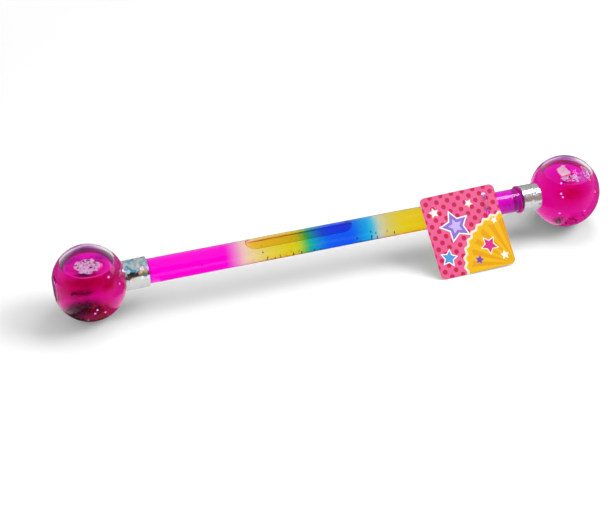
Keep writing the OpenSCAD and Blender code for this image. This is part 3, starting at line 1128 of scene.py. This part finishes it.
def flakes(places, normals, width):
    """Hexagonal plates: six points round each place, across its normal, on both sides of the film."""
    normals = normals / np.linalg.norm(normals, axis=1)[:, None]
    helper = np.where(np.abs(normals[:, :1]) < 0.9, [[1.0, 0, 0]], [[0, 1.0, 0]])
    across = np.cross(normals, helper)
    across = across / np.linalg.norm(across, axis=1)[:, None]
    along = np.cross(normals, across)
    step = np.arange(HEX)
    turn = rng.uniform(0, 2 * np.pi, (len(places), 1)) + step * np.pi / 3
    rim = np.cos(turn)[..., None] * across[:, None] + np.sin(turn)[..., None] * along[:, None]
    rim = rim * np.reshape(width, (-1, 1, 1)) / 2
    lift = normals[:, None] * FLAKE_THICK / 2
    points = np.concatenate([places[:, None] + rim + lift, places[:, None] + rim - lift], axis=1)
    first = np.arange(len(places))[:, None] * 2 * HEX
    under, beside = first + HEX, (step + 1) % HEX
    sides = np.stack([under + step, under + beside, first + beside, first + step], axis=-1).reshape(-1, 4)
    return points.reshape(-1, 3), (first + step).tolist() + (under + step[::-1]).tolist() + sides.tolist()


def flake_piece(name, places, normals, width, tints, finish, slot, node=None):
    """A group of flakes as one piece, each with its own tint."""
    points, faces = flakes(places, normals, width)
    made = piece(name, points, faces, finish, node=node)
    rows = np.repeat(np.column_stack([tints, np.ones(len(tints))]), 2 * HEX, axis=0)
    made.data.attributes.new("tint", "FLOAT_COLOR", "POINT").data.foreach_set("color", rows.ravel())


print("flakes:", HEX, "sides,", FLAKE_THICK, "mm thick")

# %% [markdown]
# The film mirrors part of its tint, and pale film lets some light through as well. Seen inside a clear ball
# it would stay dark, because bent light isn't followed to it, so a glow in the flake's tint stands for that
# light.

# %% Glitter film
FLAKE_SMEARS = 900.0
SMEARED_MORE = 0.2


def mixed_tints(count, shares):
    """Random choice among tints, given as a share for each colour code."""
    codes = list(shares)
    odds = np.array(list(shares.values()), float)
    picked = rng.choice(len(codes), count, p=odds / odds.sum())
    return np.array([light_value(code) for code in codes])[picked]


def flake_finish(name, rough, mirrored=1.0, glow=0.0):
    """Film in the flake's tint: a share of it mirrors, and the glow stands for light let through."""
    material, tree, shader = finish_start(name, Metallic=1.0, Emission_Strength=glow)
    tint = put(tree, "Attribute", attribute_name="tint").outputs["Color"]
    mirror = put(tree, "VectorMath", {0: tint, "Scale": mirrored}, operation="SCALE")
    marks = place_group(tree, smears, {
        "Scale": FLAKE_SMEARS, "Clean": rough, "Smeared": rough + SMEARED_MORE,
    })
    feed(tree, shader, {
        "Base Color": mirror.outputs[0], "Emission Color": tint, "Roughness": marks.outputs["Roughness"],
    })
    return material


pale_finish = flake_finish("pale_glitter_film", rough=0.5, mirrored=0.47, glow=0.5)
dark_finish = flake_finish("dark_glitter_film", rough=0.35)
# The clinging flakes' glow is a painted glint.
painted_glint_finish = flake_finish("painted_glint_film", rough=0.2, glow=0.5)
print("glitter films ready")

# %% [markdown]
# Light flakes gather in a raft on the surface of each pool, close together, with dark gaps and a few dark
# flakes. A jittered honeycomb, kept inside an outline, gives such a raft without flakes piling up. The left
# raft is round with soft corners, and the right one is three straight-sided patches in tints of their own.

# %% Rafts
RAFT_PITCH = 1.0
RAFT_JITTER = 0.14
RAFT_HALF = 17
RAFT_FLAKE = 1.25
RAFT_ABOVE = 0.15
RAFT_DEPTH = 0.25
RAFT_LEAN = 0.12
RAFT_CLEAR_R = 15
LOBED_MIDDLE = (-0.6, -3.6)
LOBED_R = 7.6
PALE_TINTS = {"e9dae1": 5, "e7ccd9": 4, "e9e9e9": 3, "deb8cb": 2, "4e0d29": 3}
PEACH_TINTS = {"fff2e6": 5, "ffe6d6": 4, "fffaf6": 2}
LILAC_TINTS = {"c8abd3": 3, "b687c8": 3, "d7c8dc": 1}


def honeycomb(half, pitch):
    """Places on a honeycomb within a square, each moved a little at random."""
    count = int(half / pitch) + 2
    i, j = np.meshgrid(np.arange(-count, count + 1), np.arange(-count, count + 1))
    places = np.column_stack([(i + 0.5 * (j % 2)).ravel(), (j * math.sqrt(0.75)).ravel()]) * pitch
    return places + rng.normal(0, RAFT_JITTER * pitch, places.shape)


def leaning(count, spread):
    """Upright normals that lean at random."""
    return np.column_stack([rng.normal(0, spread, count), rng.normal(0, spread, count), np.ones(count)])


def lobed(p):
    """Test for points in a round raft with eight soft corners: its radius is a sum of two waves."""
    p = p - np.array(LOBED_MIDDLE)
    far, turn = np.hypot(p[:, 0], p[:, 1]), np.arctan2(p[:, 1], p[:, 0])
    return far < LOBED_R + 0.5 * np.cos(8 * turn) + 0.4 * np.sin(3 * turn)


def within(corners):
    """Test for points in a convex polygon: left of every side, and clear of the ball's wall."""
    corners = np.array(corners, float)
    sides = np.roll(corners, -1, axis=0) - corners

    def test(p):
        """True for each point inside."""
        off = p[:, None] - corners
        left_of = sides[:, 0] * off[..., 1] - sides[:, 1] * off[..., 0] > 0
        return left_of.all(axis=1) & (np.hypot(p[:, 0], p[:, 1]) < RAFT_CLEAR_R)
    return test


# Outline, share of places that are filled, and tints of each patch
RAFTS = {
    "left": ((lobed, 1.0, PALE_TINTS),),
    "right": (
        (within([(-5.7, -4.9), (1.7, -2.5), (2.0, 9.1), (-5.6, 4.5)]), 1.0, PEACH_TINTS),
        (within([(-8.4, -9.3), (1.6, -12.7), (5.2, -4.6), (-6.1, -4.4)]), 0.75, PALE_TINTS),
        (within([(-0.8, -14.0), (10.4, -15.7), (14.6, -5.2), (5.8, -0.8)]), 0.35, LILAC_TINTS),
    ),
}
for label, patches in RAFTS.items():
    flats, tints = [], []
    for shape, share, shares in patches:
        flat = honeycomb(RAFT_HALF, RAFT_PITCH)
        flat = flat[shape(flat) & (rng.random(len(flat)) < share)]
        flats.append(flat)
        tints.append(mixed_tints(len(flat), shares))
    flat = np.concatenate(flats) + np.array([SIDES[label] * BALL_CENTRE, 0])
    places = np.column_stack([flat, LEVEL + RAFT_ABOVE + rng.uniform(0, RAFT_DEPTH, len(flat))])
    flake_piece(f"{label}_raft", places, leaning(len(flat), RAFT_LEAN), RAFT_FLAKE, np.concatenate(tints),
                pale_finish, "pale_glitter", node=f"{label}_floating_glitter")

# %% [markdown]
# Heavy flakes sink and lie in a loose bed at the bottom of each ball, heaped in a few patches. A simulation
# could drop them, but angles drawn about a middle give the same heaps. Each flake lies against the wall or a
# little above it, and leans at random. Its place is the wall's point in a direction from the ball's centre:
# the arc's radius times the direction, plus the squat, outwards from the axis.

# %% Settled beds
BED_INSET = 0.2
BED_DEPTH = 0.3
SETTLED_LEAN = 0.4
DARK_TINTS = {"3a0610": 6, "560a16": 4, "240408": 5, "8a1020": 2, "6a3a14": 1}
RED_TINTS = {"e02038": 4, "b41428": 4, "7a0a18": 2}
# Count, middle and spread in degrees, width and tints of the flakes of each patch
BEDS = {
    "left": (
        (50, (-3, 56), (4.0, 2.0), 0.6, DARK_TINTS), (40, (8, 58.5), (3, 1.6), 0.6, RED_TINTS),
        (14, (-5, 42.4), (2, 0.5), 0.6, DARK_TINTS), (14, (3, 44.6), (3, 0.5), 0.6, DARK_TINTS),
    ),
    "right": (
        (24, (14, 62), (2.0, 0.8), 0.45, DARK_TINTS), (20, (24, 66), (6, 2), 0.4, RED_TINTS),
    ),
}


def wall_points(directions, side, inset):
    """Points an inset inside a ball's inner wall, in the given directions from its centre."""
    d = directions / np.linalg.norm(directions, axis=1)[:, None]
    off_axis = np.hypot(d[:, 1], d[:, 2])[:, None]
    wide = SQUAT * np.column_stack([np.zeros(len(d)), d[:, 1], d[:, 2]]) / off_axis
    return (INNER_R - np.reshape(inset, (-1, 1))) * d + wide + np.array([side * BALL_CENTRE, 0, 0])


def bed(patches, side):
    """Flakes of several patches: each has a middle and a spread of two angles, round the ball and downwards.

    With a turn a towards the right end and a dip f below level, a direction is sin a, cos a cos f,
    -cos a sin f.
    """
    places, normals, widths, tints = [], [], [], []
    for count, middle, spread, width, shares in patches:
        a, f = np.radians(rng.normal(middle, spread, (count, 2))).T
        directions = np.column_stack([np.sin(a), np.cos(a) * np.cos(f), -np.cos(a) * np.sin(f)])
        places.append(wall_points(directions, side, BED_INSET + rng.exponential(BED_DEPTH, count)))
        normals.append(rng.normal(0, SETTLED_LEAN, (count, 3)) - directions)
        widths.append(np.full(count, width))
        tints.append(mixed_tints(count, shares))
    return [np.concatenate(part) for part in (places, normals, widths, tints)]


for label, patches in BEDS.items():
    flake_piece(f"{label}_bed", *bed(patches, SIDES[label]), dark_finish, "dark_glitter",
                node=f"{label}_settled_glitter")

# %% [markdown]
# A few bright flakes cling to the front wall of each ball, where they catch the light, and a glow in their
# finish paints their glints brighter. Their directions are given as a turn round the ball from the camera's
# side and a height above its middle, in degrees.

# %% Clinging flakes
CLINGING = {
    "left": ((33, 34), (50, 14), (77, 19), (0, -12), (-4, -19), (14, -22), (-18, -38)),
    "right": ((-43, 42), (-39, 25), (-35, 20), (37, 18), (-37, -10), (9, -7)),
}
CLINGING_FLAKE = 1.4
CLINGING_INSET = 0.12
CLINGING_LEAN = 0.05
GLINT_TINTS = {"ffe6f6": 3, "ffc8f0": 2}
for label, angles in CLINGING.items():
    turn, height = np.radians(np.array(angles, float)).T
    level = np.cos(height)
    directions = np.column_stack([np.sin(turn) * level, -np.cos(turn) * level, np.sin(height)])
    places = wall_points(directions, SIDES[label], CLINGING_INSET)
    normals = directions + rng.normal(0, CLINGING_LEAN, directions.shape)
    flake_piece(f"{label}_clinging_flakes", places, normals, CLINGING_FLAKE,
                mixed_tints(len(angles), GLINT_TINTS), painted_glint_finish, "pale_glitter")

# %% [markdown]
# In the tube small dark flakes have sunk to the bottom, spread along it and gathered in two places. Their
# turns round the bore are drawn near the lowest line, and a few are carried up the sides.

# %% Flakes in the tube
SPREAD_COUNT = 90
SPREAD_CLEAR = 3
SPREAD_HALF = FILL_HALF - SPREAD_CLEAR
# Middle along the tube, spread and count of each gathering
GATHERED = ((-47, 6, 36), (24, 5, 26))
TUBE_FLAKE = 0.8
TUBE_INSET = 0.25
TUBE_DEPTH = 0.25
TUBE_TURN = 0.35
SUNK_TINTS = {"3a2030": 4, "5a4a20": 3, "1a1010": 3, "ffe0f0": 1}
spread_out = rng.uniform(-SPREAD_HALF, SPREAD_HALF, SPREAD_COUNT)
along = np.concatenate([spread_out, *(rng.normal(*values) for values in GATHERED)])
count = len(along)
turn = rng.normal(0, TUBE_TURN, count)
down = np.column_stack([np.zeros(count), np.sin(turn), -np.cos(turn)])
places = down * (BORE_R - TUBE_INSET - rng.exponential(TUBE_DEPTH, count))[:, None]
places[:, 0] += along
normals = -down + rng.normal(0, SETTLED_LEAN, (count, 3))
flake_piece("tube_flakes", places, normals, TUBE_FLAKE, mixed_tints(count, SUNK_TINTS), dark_finish,
            "dark_glitter", node="tube_glitter")

# %% [markdown]
# The tag hangs on a ring of clear strand that passes through both of its holes and round the tube. It is a
# torus: a small circle carried round a large one.

# %% Tag ring
lo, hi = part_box("tag_loop")
STRAND = (hi.x - lo.x) / MM
RING_X = (hi.x + lo.x) / 2 / MM
RING_R = hi.z / MM - STRAND / 2
RING_AROUND = 120
points, faces = turned(arc((RING_X, RING_R), STRAND / 2, 0, 360, 17), RING_AROUND)
piece("tag_ring", points, outward(points, faces), strand_finish, body="ring", node="tag_loop")

# %% [markdown]
# The tag is coated card, printed on its front. The design is a plain one: a gold sun in the lower corner with
# a wavy cream rim, rows of red dots on pink, and stars. The print could be an image, but masks worked out
# from the place on the card stay sharp. The card's own plane is found by turning the coordinates back by its
# lean, which the largest face at the front of its mesh gives.

# %% Card coordinates and masks
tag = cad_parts["hang_tag"]
tag_areas = np.empty(len(tag.data.polygons))
tag.data.polygons.foreach_get("area", tag_areas)
tag_normals = read_vectors(tag.data.polygons, "normal")
tag_front = tag_normals[np.argmax(tag_areas * (tag_normals[:, 1] < 0))]
TAG_LEAN = math.atan2(tag_front[2], -tag_front[1])
TAG_ROLL = math.radians(1.5)
HOLES_FROM_MIDDLE = (18.0, 15.5)
INK_SOFTNESS = 0.12
TENTH = math.pi / 5
STAR_WAIST = 0.5
SUN_WAVES = 36.0
SUN_WAVE = 0.7


def soft_step(tree, value, softness=INK_SOFTNESS):
    """0 below minus the softness, 1 above it, smooth between."""
    return put(tree, "MapRange", {"Value": value, "From Min": -softness, "From Max": softness},
               interpolation_type="SMOOTHSTEP").outputs[0]


def mask_group(name, *more):
    """A group that is given a point, a middle and a size, the point's offsets and distance, and its sums."""
    inputs = {"Point": (0.0, 0.0, 0.0), **{label: 0.0 for label in ("X", "Y", "Size", *more)}}
    tree, given, result = group(name, inputs, {"Mask": "Float"})
    middle = put(tree, "CombineXYZ", {0: given["X"], 1: given["Y"]})
    local = vectors(tree, "SUBTRACT", given["Point"], middle.outputs[0])
    x, y, _ = axes(tree, local)
    return tree, given, result, (x, y, vectors(tree, "LENGTH", local, output="Value")), partial(maths, tree)


def star_group():
    """Five-pointed star: with the angle folded into a tenth of a turn, the edge is a straight line there."""
    tree, given, result, (x, y, far), sums = mask_group("star_mask", "Turn")
    fold = sums("PINGPONG", sums("ADD", sums("ARCTAN2", x, y), given["Turn"]), TENTH)
    waist = sums("MULTIPLY", sums("SINE", sums("SUBTRACT", TENTH, fold)), STAR_WAIST)
    slant = sums("ADD", sums("SINE", fold), waist)
    edge = sums("DIVIDE", sums("MULTIPLY", given["Size"], STAR_WAIST * math.sin(TENTH)), slant)
    feed(tree, result, {"Mask": soft_step(tree, sums("SUBTRACT", edge, far))})
    return tree


def sun_group():
    """Disc about a corner whose rim is a sine wave round the turn."""
    tree, given, result, (x, y, far), sums = mask_group("sun_mask")
    wave = sums("MULTIPLY", sums("SINE", sums("MULTIPLY", sums("ARCTAN2", y, x), SUN_WAVES)), SUN_WAVE)
    edge = sums("ADD", given["Size"], wave)
    feed(tree, result, {"Mask": soft_step(tree, sums("SUBTRACT", edge, far))})
    return tree


star_mask = star_group()
sun_mask = sun_group()
print("card lean:", round(math.degrees(TAG_LEAN), 2), "degrees")

# %% [markdown]
# The masks are laid over each other like inks, from the ground up. Dots are the cells of a Voronoi pattern
# with no chance in it, rays are a sine round the sun, and each star is one copy of the star's mask.

# %% Inks
PINKS = (colour("dc4c88"), colour("f06c9e"))
PINK_SCALE = 0.05
DOT_PITCH = 5.4
DOT_R = 0.3
DOT_SOFTNESS = 0.03
DOT_INK = colour("c81c42")
SUN = (26.5, -27.5)
SUN_INKS = ((35.6, colour("f6e8ca")), (33.8, colour("eeb80c")))
RAYS = 24.0
RAYS_R = 30.5
RAY_SOFTNESS = 0.2
RAY_INK = colour("e6a008")
# Middle, size, turn and ink of each star
STARS = (
    (-7.0, 5.0, 11.5, 0.2, "ffffff"), (-7.0, 5.0, 9.6, 0.2, "8d6fd0"), (-7.0, 5.0, 5.2, 0.2, "c9b4f0"),
    (-17.5, -14.5, 6.4, -0.3, "ffffff"), (-17.5, -14.5, 5.0, -0.3, "4f9ad8"),
    (12.0, -12.0, 6.8, 0.5, "fff2d8"), (12.0, -12.0, 5.4, 0.5, "d8288c"),
    (-19.0, 16.5, 3.6, 0.1, "fff4e6"), (6.0, 18.0, 3.0, 0.6, "fff4e6"), (2.5, -20.0, 3.2, 0.9, "7b3fb0"),
    (20.0, 3.5, 2.6, 0.3, "fff4e6"), (20.5, -20.5, 3.4, 0.0, "fff2d8"),
)


def card_point(tree, place):
    """Place on the card in millimetres from its middle: turned back by lean and roll, then flattened."""
    plane = put(tree, "Mapping", {
        "Vector": place, "Location": (RING_X * MM, 0, 0), "Rotation": (math.pi / 2 - TAG_LEAN, 0, 0),
    }, vector_type="TEXTURE")
    upright = put(tree, "Mapping", {"Vector": plane.outputs[0], "Rotation": (0, 0, TAG_ROLL)},
                  vector_type="TEXTURE")
    flat = vectors(tree, "MULTIPLY", upright.outputs[0], (1 / MM, 1 / MM, 0))
    return vectors(tree, "ADD", flat, (*HOLES_FROM_MIDDLE, 0))


def sun_disc(tree, point, size):
    """Mask of a wavy disc about the sun's middle."""
    return place_group(tree, sun_mask, {"Point": point, "X": SUN[0], "Y": SUN[1], "Size": size}).outputs[0]


def printed_inks(tree, point):
    """The inks over each other: pink ground, dots, the sun's discs and rays, and the stars."""
    slanted = put(tree, "Mapping", {"Vector": point, "Rotation": (0, 0, math.pi / 4)})
    dots = put(tree, "TexVoronoi", {
        "Vector": slanted.outputs[0], "Scale": 1 / DOT_PITCH, "Randomness": 0.0,
    }, voronoi_dimensions="2D")
    dot_mask = soft_step(tree, maths(tree, "SUBTRACT", DOT_R, dots.outputs["Distance"]), DOT_SOFTNESS)
    ink = blended(tree, noise(tree, point, PINK_SCALE, 1.0), *PINKS)
    ink = blended(tree, dot_mask, ink, DOT_INK)
    for size, sun_ink in SUN_INKS:
        ink = blended(tree, sun_disc(tree, point, size), ink, sun_ink)
    x, y, _ = axes(tree, vectors(tree, "SUBTRACT", point, (*SUN, 0)))
    spokes = maths(tree, "SINE", maths(tree, "MULTIPLY", maths(tree, "ARCTAN2", y, x), RAYS))
    rays = maths(tree, "MULTIPLY", soft_step(tree, spokes, RAY_SOFTNESS), sun_disc(tree, point, RAYS_R))
    ink = blended(tree, rays, ink, RAY_INK)
    for x, y, size, turn, code in STARS:
        star = place_group(tree, star_mask, {"Point": point, "X": x, "Y": y, "Size": size, "Turn": turn})
        ink = blended(tree, star.outputs[0], ink, colour(code))
    return ink


print("inks: pink, dots,", len(SUN_INKS), "sun discs, rays and", len(STARS), "stars")

# %% [markdown]
# Only the front is printed: the normal in the object's own space tells front from back and edge, which show
# bare white board with a little fibre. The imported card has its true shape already, so it keeps its mesh and
# gets only the finish.

# %% Printed card
BOARD = (colour("e6e2da"), colour("fbf9f4"))
BOARD_FIBRE = 2500.0
BOARD_ROUGHNESS = (0.32, 0.5)
FRONT_FACING = 0.5
FRONT_SOFTNESS = 0.1


def card_material():
    """Coated card: inks on the front, white fibrous board on the back and edges."""
    material, tree, shader = finish_start(
        "printed_card", Specular_IOR_Level=0.15, Coat_Weight=0.05, Coat_Roughness=0.25,
    )
    coords = put(tree, "TexCoord").outputs
    ink = printed_inks(tree, card_point(tree, coords["Object"]))
    fibre = noise(tree, coords["Object"], BOARD_FIBRE, 4.0)
    front = (0, -math.cos(TAG_LEAN), math.sin(TAG_LEAN))
    facing = vectors(tree, "DOT_PRODUCT", coords["Normal"], front, output="Value")
    printed = soft_step(tree, maths(tree, "SUBTRACT", facing, FRONT_FACING), FRONT_SOFTNESS)
    bump = put(tree, "Bump", {"Height": fibre, "Strength": 0.06, "Distance": 0.0002})
    feed(tree, shader, {
        "Base Color": blended(tree, printed, blended(tree, fibre, *BOARD), ink),
        "Roughness": between(tree, fibre, 0.0, 1.0, *BOARD_ROUGHNESS),
        "Normal": bump.outputs[0],
    })
    return material


tag.data.materials.clear()
tag.data.materials.append(card_material())
print("card printed with", len(STARS), "stars")
